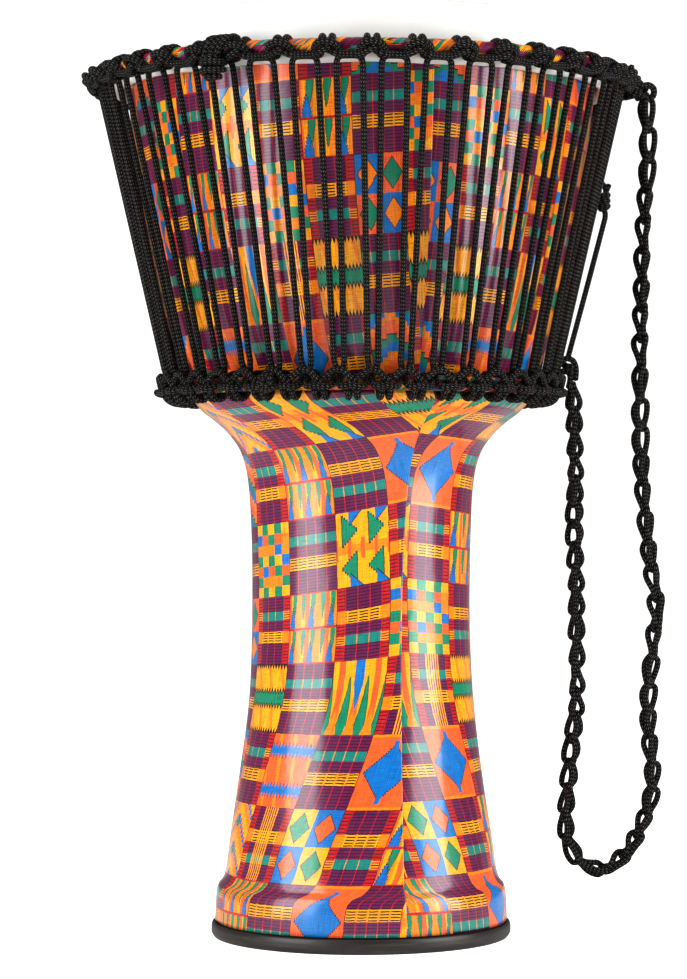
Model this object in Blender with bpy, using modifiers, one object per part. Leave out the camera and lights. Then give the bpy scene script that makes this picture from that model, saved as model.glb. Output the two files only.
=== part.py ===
"""Rope-tuned djembe: goblet shell, skin held by a flesh hoop, two rope-laced rings and a braided carrying strap.

The drum stands on the XY plane with its axis on +Z, and its front faces -Y. All lengths are in metres.
"""

import math

import bmesh
import bpy
from mathutils import Matrix, Vector

# Driving dimensions
HEIGHT = 0.610  # ground to playing surface
TURN_STEPS = 36  # flats round every turned piece

WALL = 0.005  # moulded shell
CLOTH = 0.0007  # printed cloth laid on the shell
GAP = 0.0003  # clearance between touching pieces
SKIN = 0.0012  # drumhead thickness

FOOT_RIM_RADIUS = 0.101
FOOT_RIM_HEIGHT = 0.010
FOOT_RIM_SOLE = 0.0035
FOOT_RIM_LIP = 0.0035
FOOT_TAPER = 0.0015  # the shell narrows by this below the cloth, inside the rim

# Printed outer surface of the stem and the bowl, as (radius, height) from the top down
BOWL_OUTLINE = [
    (0.1576, 0.5660),
    (0.1530, 0.5280),
    (0.1455, 0.4820),
    (0.1365, 0.4380),
    (0.1275, 0.4020),
    (0.1202, 0.3820),
    (0.1164, 0.3730),
    (0.1150, 0.3670),
]
STEM_OUTLINE = [
    (0.1143, 0.3650),
    (0.1120, 0.3590),
    (0.1065, 0.3530),
    (0.0985, 0.3470),
    (0.0890, 0.3380),
    (0.0802, 0.3240),
    (0.0755, 0.3000),
    (0.0737, 0.2500),
    (0.0741, 0.1940),
    (0.0765, 0.1530),
    (0.0829, 0.1040),
    (0.0890, 0.0640),
    (0.0912, 0.0470),
    (0.0936, 0.0385),
    (0.0976, 0.0320),
    (0.0988, 0.0110),
]
BEARING_EDGE = [(0.1500, 0.6083), (0.1545, 0.6069), (0.1572, 0.6030), (0.1580, 0.5980), (0.1572, 0.5750)]

# Drumhead: flat top, rounded shoulder, straight collar
HEAD_SHOULDER = [(0.1500, HEIGHT), (0.1562, 0.6083), (0.1593, 0.6043), (0.1603, 0.5980)]

# Steel rings, all round bar, as (ring radius, height)
BAR_RADIUS = 0.0035
BAR_SIDES = 6
FLESH_HOOP = (0.1646, 0.5722)
CROWN_RING = (0.1740, 0.5765)
LOWER_RING = (0.1245, 0.3685)
WRAP = 0.0007  # cloth strip wound on the two tension rings

# Rope and lacing
ROPE_RADIUS = 0.0020
HITCHES = 39
HITCH_PITCH = 360.0 / HITCHES
FIRST_HITCH = 2.3  # degrees from the front towards +X
LOOP_REACH = 0.0056  # loop rope beyond the ring's centre circle, between two hitches
UPPER_LOOP_DROP = 0.0065
LOWER_LOOP_DROP = 0.0102
HITCH_SIDE = (0.0076, 0.0020)
HITCH_CROWN = (0.0025, 0.0081)

STRAP_RADIUS = 0.0060
STRAP_SAMPLES = 66
# The strap hangs in the XZ plane beside the drum, from the crown ring to the lower ring, as (x, z)
STRAP_ROUTE = [
    (0.1922, 0.5683),
    (0.1936, 0.5560),
    (0.1938, 0.5175),
    (0.1910, 0.4633),
    (0.1896, 0.3956),
    (0.1892, 0.3347),
    (0.1943, 0.2670),
    (0.2002, 0.2264),
    (0.1988, 0.2020),
    (0.1950, 0.1695),
    (0.1946, 0.1451),
    (0.1968, 0.1208),
    (0.1976, 0.1045),
    (0.1954, 0.0883),
    (0.1888, 0.0700),
    (0.1790, 0.0540),
    (0.1650, 0.0440),
    (0.1500, 0.0480),
    (0.1405, 0.0620),
    (0.1385, 0.0800),
    (0.1402, 0.0990),
    (0.1425, 0.1230),
    (0.1450, 0.1500),
    (0.1460, 0.1900),
    (0.1456, 0.2264),
    (0.1450, 0.2670),
    (0.1446, 0.3100),
    (0.1444, 0.3450),
    (0.1434, 0.3620),
    (0.1424, 0.3758),
]


def clear_scene():
    for thing in list(bpy.data.objects):
        bpy.data.objects.remove(thing, do_unlink=True)


def new_collection(name):
    collection = bpy.data.collections.new(name)
    bpy.context.scene.collection.children.link(collection)
    return collection


def new_material(name, color, roughness, metallic=0.0):
    material = bpy.data.materials.new(name)
    material.use_nodes = True
    shader = material.node_tree.nodes["Principled BSDF"]
    shader.inputs["Base Color"].default_value = (*color, 1.0)
    shader.inputs["Roughness"].default_value = roughness
    shader.inputs["Metallic"].default_value = metallic
    return material


def add_object(name, data, material):
    thing = bpy.data.objects.new(name, data)
    data.materials.append(material)
    DRUM.objects.link(thing)
    return thing


def polar(radius, degrees, height):
    """Point at an angle measured from the front (-Y) towards +X."""
    angle = math.radians(degrees)
    return Vector((radius * math.sin(angle), -radius * math.cos(angle), height))


def inset(outline, distance):
    """Moves an outline that runs down an outer side towards the axis, square to itself."""
    moved = []
    for index, (radius, height) in enumerate(outline):
        before = Vector(outline[max(index - 1, 0)])
        after = Vector(outline[min(index + 1, len(outline) - 1)])
        along = (after - before).normalized()
        moved.append((radius + along.y * distance, height - along.x * distance))
    return moved


def turned(name, profile, material, closed=True):
    """Turns a (radius, height) profile about Z. It runs down the outer side and back up the inner side."""
    mesh = bpy.data.meshes.new(name)
    points = [(radius, 0.0, height) for radius, height in profile]
    edges = [(i, i + 1) for i in range(len(points) - 1)]
    if closed:
        edges.append((len(points) - 1, 0))
    mesh.from_pydata(points, edges, [])
    thing = add_object(name, mesh, material)
    screw = thing.modifiers.new("Turn", "SCREW")
    screw.axis = "Z"
    screw.steps = TURN_STEPS
    screw.render_steps = TURN_STEPS
    screw.use_merge_vertices = True
    screw.merge_threshold = 0.00001
    screw.use_smooth_shade = True
    return thing


def arc(centre, radius, start, end, count):
    """Points round a section circle, from one angle to another in degrees (0 outwards, 90 up)."""
    points = []
    for index in range(count):
        angle = math.radians(start + (end - start) * index / (count - 1))
        points.append((centre[0] + radius * math.cos(angle), centre[1] + radius * math.sin(angle)))
    return points


def tube(name, points, radius, material, cyclic=False, resolution=0):
    curve = bpy.data.curves.new(name, "CURVE")
    curve.dimensions = "3D"
    curve.twist_mode = "MINIMUM"
    curve.bevel_depth = radius
    curve.bevel_resolution = resolution
    curve.render_resolution_u = 0
    curve.use_fill_caps = True
    spline = curve.splines.new("POLY")
    spline.points.add(len(points) - 1)
    for target, point in zip(spline.points, points):
        target.co = (*point, 1.0)
    spline.use_cyclic_u = cyclic
    return add_object(name, curve, material)


def smooth_route(points, samples):
    """Evenly spaced points on a smooth curve through a few route points."""
    dense = []
    last = len(points) - 1
    for index in range(last):
        p0 = points[max(index - 1, 0)]
        p1 = points[index]
        p2 = points[index + 1]
        p3 = points[min(index + 2, last)]
        for part in range(12):
            t = part / 12.0
            dense.append(
                0.5 * (2.0 * p1 + (p2 - p0) * t + (2.0 * p0 - 5.0 * p1 + 4.0 * p2 - p3) * t**2
                       + (3.0 * p1 - p0 - 3.0 * p2 + p3) * t**3)
            )
    dense.append(points[-1])
    lengths = [0.0]
    for before, after in zip(dense, dense[1:]):
        lengths.append(lengths[-1] + (after - before).length)
    even = []
    index = 0
    for sample in range(samples):
        goal = lengths[-1] * sample / (samples - 1)
        while index < len(dense) - 2 and lengths[index + 1] < goal:
            index += 1
        share = (goal - lengths[index]) / (lengths[index + 1] - lengths[index])
        even.append(dense[index].lerp(dense[index + 1], share))
    return even


def ball(bm, centre, radii, degrees=0.0):
    """Adds an ellipsoid with its axes radial, tangential and vertical at an angle round the drum."""
    placed = (
        Matrix.Translation(centre)
        @ Matrix.Rotation(math.radians(degrees - 90.0), 4, "Z")
        @ Matrix.Diagonal((*radii, 1.0))
    )
    bmesh.ops.create_uvsphere(bm, u_segments=12, v_segments=8, radius=1.0, matrix=placed)


def knot(name, place, radii, material):
    """A tight rope knot as one rounded body. place is (radius, degrees, height)."""
    bm = bmesh.new()
    ball(bm, polar(*place), radii, place[1])
    mesh = bpy.data.meshes.new(name)
    bm.to_mesh(mesh)
    bm.free()
    mesh.shade_smooth()
    return add_object(name, mesh, material)


def make_shell(material):
    """Goblet wall: one moulding from the foot to the bearing edge. It stands in the foot rim's groove."""
    covered = inset(BOWL_OUTLINE[:-1] + STEM_OUTLINE, CLOTH + GAP)
    foot_radius = covered[-1][0]
    foot_end = FOOT_RIM_SOLE + GAP
    outer = BEARING_EDGE[1:] + covered + [(foot_radius - FOOT_TAPER, foot_end)]
    inner = [(foot_radius - FOOT_TAPER - WALL, foot_end), (foot_radius - WALL, 0.0200)]
    inner += list(reversed(inset([BEARING_EDGE[-1]] + covered[1:-1:2], WALL)))
    inner += [(0.1482, 0.6030), BEARING_EDGE[0]]
    turned("shell", outer + inner, material)


def make_cover(name, outline, material):
    turned(name, outline + list(reversed(inset(outline, CLOTH))), material)


def make_foot_rim(material):
    """Rubber channel pushed onto the foot: the shell stands in its groove."""
    outside = FOOT_RIM_RADIUS
    groove_out = STEM_OUTLINE[-1][0] - CLOTH
    groove_in = groove_out - GAP - FOOT_TAPER - WALL - 2.0 * GAP
    profile = [
        (outside - 0.0009, FOOT_RIM_HEIGHT),
        (outside, FOOT_RIM_HEIGHT - 0.0015),
        (outside, 0.0020),
        (outside - 0.0018, 0.0),
        (groove_in - FOOT_RIM_LIP, 0.0),
        (groove_in - FOOT_RIM_LIP, 0.0085),
        (groove_in, 0.0085),
        (groove_in, FOOT_RIM_SOLE),
        (groove_out, FOOT_RIM_SOLE),
        (groove_out, FOOT_RIM_HEIGHT),
    ]
    turned("foot_rim", profile, material)


def make_drumhead(material):
    """Skin: flat top, collar down the outside of the bowl, and a tuck round the flesh hoop."""
    tuck_in = BAR_RADIUS + 0.0004
    tuck_out = tuck_in + SKIN
    lip_height = FLESH_HOOP[1] + 0.0025
    inside_tuck = arc(FLESH_HOOP, tuck_in, 180.0, 360.0, 5)
    outside_tuck = arc(FLESH_HOOP, tuck_out, 360.0, 180.0, 5)
    shoulder_inner = inset(HEAD_SHOULDER, SKIN)
    profile = [(0.0, HEIGHT)] + HEAD_SHOULDER + inside_tuck
    profile += [(FLESH_HOOP[0] + tuck_in, lip_height), (FLESH_HOOP[0] + tuck_out, lip_height)]
    profile += outside_tuck + list(reversed(shoulder_inner)) + [(0.0, HEIGHT - SKIN)]
    turned("drumhead", profile, material, closed=False)


def make_bar_ring(name, ring, material):
    start = 30.0
    turned(name, list(reversed(arc(ring, BAR_RADIUS, start, start + 300.0, BAR_SIDES))), material)


def make_ring_wrap(name, ring, material):
    """Cloth strip wound on a ring. Its edges meet on the ring's inner side, where the section is open."""
    inner = arc(ring, BAR_RADIUS + GAP, -150.0, 150.0, BAR_SIDES)
    outer = arc(ring, BAR_RADIUS + GAP + WRAP, 150.0, -150.0, BAR_SIDES)
    turned(name, outer + inner, material)


def hitch_angle(index):
    return FIRST_HITCH + HITCH_PITCH * index


def make_loop_rope(name, ring, offset, up, drop, span, spread, material):
    """One rope that hitches over a ring again and again and leaves a loop between each two hitches.

    up is 1 where the hitches pass over the top of the ring and -1 where they pass under it. drop is from
    the ring's centre to the level stretch between two hitches. span is the angle from a hitch's middle to
    where its loop levels out, and spread is half the hitch's width.
    """
    points = []
    for index in range(HITCHES):
        middle = hitch_angle(index) + offset
        side = [
            (span, LOOP_REACH, -drop),
            (spread * 1.1, *HITCH_SIDE),
            (spread * 0.9, *HITCH_CROWN),
        ]
        for angle, reach, rise in side:
            points.append(polar(ring[0] + reach, middle - angle, ring[1] + up * rise))
        for angle, reach, rise in reversed(side):
            points.append(polar(ring[0] + reach, middle + angle, ring[1] + up * rise))
    tube(name, points, ROPE_RADIUS, material, cyclic=True)


def make_tension_rope(material):
    """Lacing: one closed zig-zag between the upper loops and the lower loops."""
    points = []
    for index in range(HITCHES):
        middle = hitch_angle(index)
        following = middle + HITCH_PITCH
        points += [
            polar(0.1360, middle - 1.35, 0.3805),
            polar(0.1325, middle, 0.3736),
            polar(0.1360, middle + 1.35, 0.3805),
            polar(0.1742, middle + 2.10, 0.5640),
            polar(0.1752, middle + 2.75, 0.5688),
            polar(0.1752, following - 2.75, 0.5688),
            polar(0.1742, following - 2.10, 0.5640),
        ]
    tube("tension_rope", points, ROPE_RADIUS, material, cyclic=True)


def make_tie_off_knot(material):
    """Finishing knot of the crown: a wrapped bundle on the ring with a ball hanging under it."""
    place = (0.1886, FIRST_HITCH - 3.5 * HITCH_PITCH)
    bm = bmesh.new()
    ball(bm, polar(*place, 0.5795), (0.0062, 0.0085, 0.0066), place[1])
    mesh = bpy.data.meshes.new("tie_off_knot")
    bm.to_mesh(mesh)
    bm.free()
    thing = add_object("tie_off_knot", mesh, material)
    bm = bmesh.new()
    ball(bm, polar(*place, 0.5680), (0.0064, 0.0074, 0.0075), place[1])
    lower = bpy.data.meshes.new("tie_off_ball")
    bm.to_mesh(lower)
    bm.free()
    cutter = bpy.data.objects.new("tie_off_ball", lower)
    CUTTERS.objects.link(cutter)
    cutter.hide_render = True
    cutter.display_type = "WIRE"
    union = thing.modifiers.new("Join ball", "BOOLEAN")
    union.operation = "UNION"
    union.solver = "EXACT"
    union.object = cutter


def make_tail(rope):
    """Rope end left over from tuning: knotted half way up the lacing and drawn down to the lower ring."""
    side = FIRST_HITCH + 9.5 * HITCH_PITCH
    knot("tail_knot", (0.1635, side, 0.4965), (0.0050, 0.0050, 0.0095), rope)
    route = [polar(0.1630, side, 0.4862), polar(0.1525, side, 0.4400), polar(0.1412, side, 0.3905)]
    tube("tail_rope", smooth_route(route, 12), ROPE_RADIUS, rope)


def make_strap(rope):
    """Carrying strap: a chain-braided rope from the crown ring down and back up to the lower ring."""
    side = FIRST_HITCH + 9.5 * HITCH_PITCH
    knot("strap_top_knot", (0.1910, side, 0.5775), (0.0086, 0.0092, 0.0088), rope)
    knot("strap_lower_knot", (0.1414, side, 0.3828), (0.0064, 0.0064, 0.0066), rope)
    route = [Vector((x, 0.0, z)) for x, z in STRAP_ROUTE]
    tube("strap", smooth_route(route, STRAP_SAMPLES), STRAP_RADIUS, rope, resolution=2)


def main():
    moulding = new_material("moulded_shell", (0.050, 0.048, 0.046), 0.45)
    cloth = new_material("printed_cloth", (0.86, 0.36, 0.08), 0.32)
    rubber = new_material("foot_rubber", (0.028, 0.024, 0.021), 0.55)
    skin = new_material("drum_skin", (0.90, 0.88, 0.84), 0.55)
    steel = new_material("ring_steel", (0.42, 0.42, 0.43), 0.35, 1.0)
    rope = new_material("black_rope", (0.022, 0.022, 0.023), 0.65)

    make_shell(moulding)
    make_cover("stem_cover", STEM_OUTLINE, cloth)
    make_cover("bowl_cover", BOWL_OUTLINE, cloth)
    make_foot_rim(rubber)
    make_drumhead(skin)
    make_bar_ring("flesh_hoop", FLESH_HOOP, steel)
    make_bar_ring("crown_ring", CROWN_RING, steel)
    make_bar_ring("lower_ring", LOWER_RING, steel)
    make_ring_wrap("crown_ring_wrap", CROWN_RING, cloth)
    make_ring_wrap("lower_ring_wrap", LOWER_RING, cloth)
    make_loop_rope("upper_loop_rope", CROWN_RING, 0.0, 1, UPPER_LOOP_DROP, 2.4, 1.1, rope)
    make_loop_rope("lower_loop_rope", LOWER_RING, 0.5 * HITCH_PITCH, -1, LOWER_LOOP_DROP, 3.0, 1.15, rope)
    make_tension_rope(rope)
    make_tie_off_knot(rope)
    knot("lower_button_knot", (0.1401, FIRST_HITCH - 3 * HITCH_PITCH, 0.3690), (0.0038, 0.0070, 0.0070), rope)
    make_tail(rope)
    make_strap(rope)


clear_scene()
DRUM = new_collection("djembe")
CUTTERS = new_collection("cutters")
main()
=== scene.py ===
import math
import random

import bpy
import numpy as np
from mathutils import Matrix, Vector


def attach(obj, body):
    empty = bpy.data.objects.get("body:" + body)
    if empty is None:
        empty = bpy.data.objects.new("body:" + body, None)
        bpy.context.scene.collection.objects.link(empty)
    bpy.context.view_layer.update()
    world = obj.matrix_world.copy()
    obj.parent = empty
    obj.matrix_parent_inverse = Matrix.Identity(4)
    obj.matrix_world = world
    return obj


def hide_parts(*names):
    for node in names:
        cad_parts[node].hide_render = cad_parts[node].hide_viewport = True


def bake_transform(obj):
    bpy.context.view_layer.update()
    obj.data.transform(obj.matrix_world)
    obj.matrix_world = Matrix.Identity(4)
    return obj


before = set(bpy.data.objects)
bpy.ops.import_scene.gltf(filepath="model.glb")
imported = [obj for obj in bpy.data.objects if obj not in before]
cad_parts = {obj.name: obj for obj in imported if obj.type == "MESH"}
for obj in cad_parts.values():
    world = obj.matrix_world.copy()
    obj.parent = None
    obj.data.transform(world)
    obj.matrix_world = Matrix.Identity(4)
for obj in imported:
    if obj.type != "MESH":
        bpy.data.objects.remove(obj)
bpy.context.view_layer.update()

random.seed(11)

# shared sizes in metres, angles in degrees from the front towards +X
drumSizes = {
    "crownRing": (0.1740, 0.5765),
    "lowerRing": (0.1245, 0.3685),
    "fleshHoop": (0.1646, 0.5722),
    "ropeRadius": 0.0020,
    "hitches": 39,
    "firstHitch": 2.3,
}
hitchPitch = 360.0 / drumSizes["hitches"]
strapSide = drumSizes["firstHitch"] + 9.5 * hitchPitch


def polar(radius, degrees, height):
    angle = math.radians(degrees)
    return (radius * math.sin(angle), -radius * math.cos(angle), height)


def smoothStep(x):
    x = np.clip(x, 0.0, 1.0)
    return x * x * (3.0 - 2.0 * x)


def smoothRoute(points, spacing, closed=False):
    p = np.array(points, float)
    count = len(p)
    spans = count if closed else count - 1
    dense = []
    for i in range(spans):
        if closed:
            p0, p1, p2, p3 = (p[(i + k) % count] for k in (-1, 0, 1, 2))
        else:
            p0, p1, p2, p3 = (p[min(max(i + k, 0), count - 1)] for k in (-1, 0, 1, 2))
        t = np.linspace(0.0, 1.0, 10, endpoint=False)[:, None]
        dense.append(0.5 * (2 * p1 + (p2 - p0) * t + (2 * p0 - 5 * p1 + 4 * p2 - p3) * t**2
                            + (3 * p1 - p0 - 3 * p2 + p3) * t**3))
    dense = np.vstack(dense + [p[:1] if closed else p[-1:]])
    run = np.concatenate([[0.0], np.cumsum(np.linalg.norm(np.diff(dense, axis=0), axis=1))])
    steps = max(int(round(run[-1] / spacing)), 4)
    goals = np.linspace(0.0, run[-1], steps + 1)
    even = np.stack([np.interp(goals, run, dense[:, k]) for k in range(3)], axis=1)
    return even[:-1] if closed else even


def routeLength(points):
    return float(np.linalg.norm(np.diff(np.array(points), axis=0), axis=1).sum())


def carriedFrames(points, closed=False):
    p = np.array(points, float)
    if closed:
        tangents = np.roll(p, -1, axis=0) - np.roll(p, 1, axis=0)
    else:
        tangents = np.gradient(p, axis=0)
    tangents /= np.linalg.norm(tangents, axis=1)[:, None]
    side = np.cross(tangents[0], (0.0, 0.0, 1.0))
    if np.linalg.norm(side) < 0.2:
        side = np.cross(tangents[0], (0.0, 1.0, 0.0))
    normals = [side / np.linalg.norm(side)]
    for t in tangents[1:]:
        n = normals[-1] - t * normals[-1].dot(t)
        normals.append(n / np.linalg.norm(n))
    normals = np.array(normals)
    if closed:      # spread the leftover turn so that the ends meet
        n = normals[-1] - tangents[0] * normals[-1].dot(tangents[0])
        n /= np.linalg.norm(n)
        turn = math.atan2(np.cross(n, normals[0]).dot(tangents[0]), n.dot(normals[0]))
        angles = turn * np.arange(len(p)) / len(p)
        across = np.cross(tangents, normals)
        normals = normals * np.cos(angles)[:, None] + across * np.sin(angles)[:, None]
    return tangents, normals, np.cross(tangents, normals)


def makeMesh(name, verts, faces, uvs, material):
    mesh = bpy.data.meshes.new(name)
    mesh.from_pydata(np.asarray(verts).tolist(), [], faces)
    layer = mesh.uv_layers.new(name="UVMap")
    layer.data.foreach_set("uv", np.asarray(uvs, float).ravel())
    mesh.shade_smooth()
    mesh.materials.append(material)
    obj = bpy.data.objects.new(name, mesh)
    bpy.context.scene.collection.objects.link(obj)
    return obj


# the quads of a grid of points, each corner as its row and column, counted on past a closed side
def gridQuads(rows, columns, closedRows=False, closedColumns=False):
    for i in range(rows if closedRows else rows - 1):
        for j in range(columns if closedColumns else columns - 1):
            yield (i, j), (i + 1, j), (i + 1, j + 1), (i, j + 1)


def makeRope(name, routes, radius, material, sides=10, closed=False):
    verts = []
    faces = []
    uvs = []
    base = 0
    for points in routes:
        p = np.array(points, float)
        n = len(p)
        tangents, normals, across = carriedFrames(p, closed)
        angles = 2 * math.pi * np.arange(sides) / sides
        section = np.cos(angles)[None, :, None] * normals[:, None, :]
        section = section + np.sin(angles)[None, :, None] * across[:, None, :]
        verts.append((p[:, None, :] + radius * section).reshape(-1, 3))
        run = np.concatenate([[0.0], np.cumsum(np.linalg.norm(np.diff(p, axis=0), axis=1))])
        along = [*run, run[-1] + np.linalg.norm(p[0] - p[-1])]
        for a, b, c, d in gridQuads(n, sides, closed, True):
            faces.append(tuple(base + i % n * sides + j % sides for i, j in (a, d, c, b)))
            uvs += [(j / sides, along[i]) for i, j in (a, d, c, b)]
        if not closed:
            for end, sign in ((0, -1.0), (n - 1, 1.0)):     # rounded rope ends
                tip = len(np.vstack(verts))
                verts.append((p[end] + sign * tangents[end] * radius * 0.5)[None, :])
                for j in range(sides):
                    m = (j + 1) % sides
                    a = base + end * sides + j
                    b = base + end * sides + m
                    faces.append((b, a, tip) if sign < 0 else (a, b, tip))
                    tipUv = ((j + 0.5) / sides, run[end] + sign * 0.001)
                    uvs += [(j / sides, run[end]), ((j + 1) / sides, run[end]), tipUv]
        base = sum(len(v) for v in verts)
    return makeMesh(name, np.vstack(verts), faces, uvs, material)


def makeTurned(name, profile, material, steps=180, bumps=None):
    p = np.array(profile, float)
    rows = len(p)
    run = np.concatenate([[0.0], np.cumsum(np.linalg.norm(np.diff(p, axis=0), axis=1))])
    angles = 2 * math.pi * np.arange(steps) / steps
    radii = np.repeat(p[:, 0][:, None], steps, axis=1)
    heights = np.repeat(p[:, 1][:, None], steps, axis=1)
    if bumps is not None:
        radii, heights = bumps(radii, heights, angles[None, :])
    verts = np.stack([radii * np.sin(angles), -radii * np.cos(angles), heights], axis=2).reshape(-1, 3)
    faces = []
    uvs = []
    around = 2 * math.pi * float(p[:, 0].max())
    along = [*run, run[-1] + float(np.linalg.norm(p[0] - p[-1]))]
    for corners in gridQuads(rows, steps, True, True):
        faces.append(tuple(i % rows * steps + j % steps for i, j in corners))
        uvs += [(around * j / steps, along[i]) for i, j in corners]
    return makeMesh(name, verts, faces, uvs, material)


def roundedProfile(corners, radius, parts=4):
    p = [Vector(c) for c in corners]
    out = []
    for i, corner in enumerate(p):
        before = p[i - 1]
        after = p[(i + 1) % len(p)]
        r = min(radius, (before - corner).length * 0.45, (after - corner).length * 0.45)
        start = corner + (before - corner).normalized() * r
        end = corner + (after - corner).normalized() * r
        for k in range(parts + 1):
            t = k / parts
            out.append(tuple(start * (1 - t)**2 + corner * 2 * t * (1 - t) + end * t**2))
    return out


def finerOutline(outline, spacing):
    flat = smoothRoute([(r, 0.0, z) for r, z in outline], spacing)
    return [(float(r), float(z)) for r, _, z in flat]


def insetOutline(outline, distance):
    p = np.array(outline, float)
    along = np.gradient(p, axis=0)
    along /= np.linalg.norm(along, axis=1)[:, None]
    return [(float(r + a[1] * distance), float(z - a[0] * distance)) for (r, z), a in zip(p, along)]


# node helpers
class Wire:
    tree = None

    def __init__(self, socket):
        self.socket = socket

    def __add__(self, other):
        return calc("ADD", self, other)

    __radd__ = __add__

    def __sub__(self, other):
        return calc("SUBTRACT", self, other)

    def __rsub__(self, other):
        return calc("SUBTRACT", other, self)

    def __mul__(self, other):
        return calc("MULTIPLY", self, other)

    __rmul__ = __mul__

    def __truediv__(self, other):
        return calc("DIVIDE", self, other)

    def __lt__(self, other):
        return calc("LESS_THAN", self, other)

    def __gt__(self, other):
        return calc("GREATER_THAN", self, other)


def plug(target, value):
    if isinstance(value, Wire):
        Wire.tree.links.new(value.socket, target)
    elif isinstance(value, (tuple, list)) and len(value) == 3 and target.type == "RGBA":
        target.default_value = (*value, 1.0)
    else:
        target.default_value = value


def outputOf(wire, key):
    return Wire(wire.socket.node.outputs[key])


def calc(operation, *values):
    node = Wire.tree.nodes.new("ShaderNodeMath")
    node.operation = operation
    for target, value in zip(node.inputs, values):
        plug(target, value)
    return Wire(node.outputs[0])


def fract(x):
    return calc("FRACT", x)


def floorOf(x):
    return calc("FLOOR", x)


def away(x, centre):
    return calc("ABSOLUTE", x - centre)


def between(x, low, high):
    half = (high - low) / 2
    return away(x, low + half) < half


def both(*masks):
    result = masks[0]
    for mask in masks[1:]:
        result = result * mask
    return result


def either(a, b):
    return calc("MAXIMUM", a, b)


def pick(old, new, mask):
    if isinstance(old, (int, float)) and isinstance(new, (int, float)):
        return mask * (new - old) + old
    return (new - old) * mask + old


def addNode(kind, inputs=None, output=0, **settings):
    node = Wire.tree.nodes.new(kind)
    for key, value in settings.items():
        setattr(node, key, value)
    for key, value in (inputs or {}).items():
        plug(node.inputs[key], value)
    return Wire(node.outputs[output])


def mixColor(factor, a, b, blend="MIX"):
    node = Wire.tree.nodes.new("ShaderNodeMix")
    node.data_type = "RGBA"
    node.blend_type = blend
    plug(node.inputs[0], factor)
    plug(node.inputs[6], a)
    plug(node.inputs[7], b)
    return Wire(node.outputs[2])


def ramp(factor, stops, constant=False):
    node = Wire.tree.nodes.new("ShaderNodeValToRGB")
    bands = node.color_ramp
    bands.interpolation = "CONSTANT" if constant else "LINEAR"
    while len(bands.elements) < len(stops):
        bands.elements.new(1.0)
    for element, (place, color) in zip(bands.elements, stops):
        element.position = place
        element.color = (*color, 1.0)
    plug(node.inputs[0], factor)
    return Wire(node.outputs[0])


def noiseAt(vector, scale, detail=2.0, roughness=0.5, distortion=0.0):
    return addNode("ShaderNodeTexNoise", {"Vector": vector, "Scale": scale, "Detail": detail,
                                          "Roughness": roughness, "Distortion": distortion})


def newGroup(name, inputs, outputs):
    group = bpy.data.node_groups.new(name, "ShaderNodeTree")
    for key, kind in inputs:
        group.interface.new_socket(name=key, in_out="INPUT", socket_type=kind)
    for key, kind in outputs:
        group.interface.new_socket(name=key, in_out="OUTPUT", socket_type=kind)
    Wire.tree = group
    entry = group.nodes.new("NodeGroupInput")
    leave = group.nodes.new("NodeGroupOutput")
    return group, {s.name: Wire(s) for s in entry.outputs if s.name}, leave


def useGroup(group, inputs):
    node = Wire.tree.nodes.new("ShaderNodeGroup")
    node.node_tree = group
    for key, value in inputs.items():
        plug(node.inputs[key], value)
    return {s.name: Wire(s) for s in node.outputs}


def newMaterial(name):
    material = bpy.data.materials.new(name)
    material.use_nodes = True
    Wire.tree = material.node_tree
    return material, material.node_tree.nodes["Principled BSDF"]


def bumpFrom(height, distance, strength=1.0):
    return addNode("ShaderNodeBump", {"Height": height, "Distance": distance, "Strength": strength})


def hexColor(text):
    parts = [int(text[i:i + 2], 16) / 255 for i in (0, 2, 4)]
    return tuple(c / 12.92 if c <= 0.04045 else ((c + 0.055) / 1.055)**2.4 for c in parts)


vectorSocket = "NodeSocketVector"
floatSocket = "NodeSocketFloat"
colorSocket = "NodeSocketColor"

# printed cloth
printSettings = {
    "palette": [
        "FCAA10", "F98A12", "F5692E", "6E1852", "BE1A22", "088A68", "0476BE", "3C0A2C", "10867C", "140A10",
    ],
    "wander": (0.024, 0.020),
    "threadShade": 1.25,
    # the woven strips side by side, each from its top row down
    "columns": [
        ["plaidSides", "teeth", "plaidWide", "teeth",
         "plaidWide", "ikatCoral", "plaidThinFlipped", "teeth"],
        ["sideTriangles", "plaidWideFlipped", "sideTriangles", "plaidSidesFlipped",
         "bigTeeth", "plaidWide", "fourDiamonds", "plaidWideFlipped"],
        ["plaidWide", "diamond", "plaidSides", "checker",
         "plaidThin", "diamond", "plaidSidesFlipped", "diamond"],
        ["ikatYellow", "plaidSides", "wideTeeth", "plaidSidesFlipped",
         "ikatYellow", "plaidSides", "wideTeeth", "plaidWideFlipped"],
        ["plaidSides", "steppedBars", "plaidWide", "warmDiamonds",
         "plaidWide", "steppedBars", "plaidSides", "sideTriangles"],
        ["chevron", "plaidSides", "checker", "plaidSides",
         "ikatYellow", "plaidSides", "chevron", "plaidSides"],
    ],
    # motif number, flipped, variant
    "motifs": {
        "plaidWide": (0, 0, 0.0), "plaidWideFlipped": (0, 1, 0.0),
        "plaidSides": (0, 0, 0.5), "plaidSidesFlipped": (0, 1, 0.5),
        "plaidThin": (0, 0, 1.0), "plaidThinFlipped": (0, 1, 1.0),
        "teeth": (1, 0, 0.0), "wideTeeth": (1, 0, 1.0), "bigTeeth": (2, 0, 0.0),
        "diamond": (3, 0, 0.0), "checker": (4, 0, 0.0), "sideTriangles": (5, 0, 0.0),
        "fourDiamonds": (6, 0, 0.0), "warmDiamonds": (6, 0, 1.0),
        "ikatYellow": (7, 0, 0.0), "ikatCoral": (7, 0, 1.0),
        "chevron": (8, 0, 0.0), "steppedBars": (9, 0, 0.0),
    },
}
# places in the palette
yellow, orange, coral, purple, crimson, green, blue, maroon, teal, black = range(10)


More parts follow.
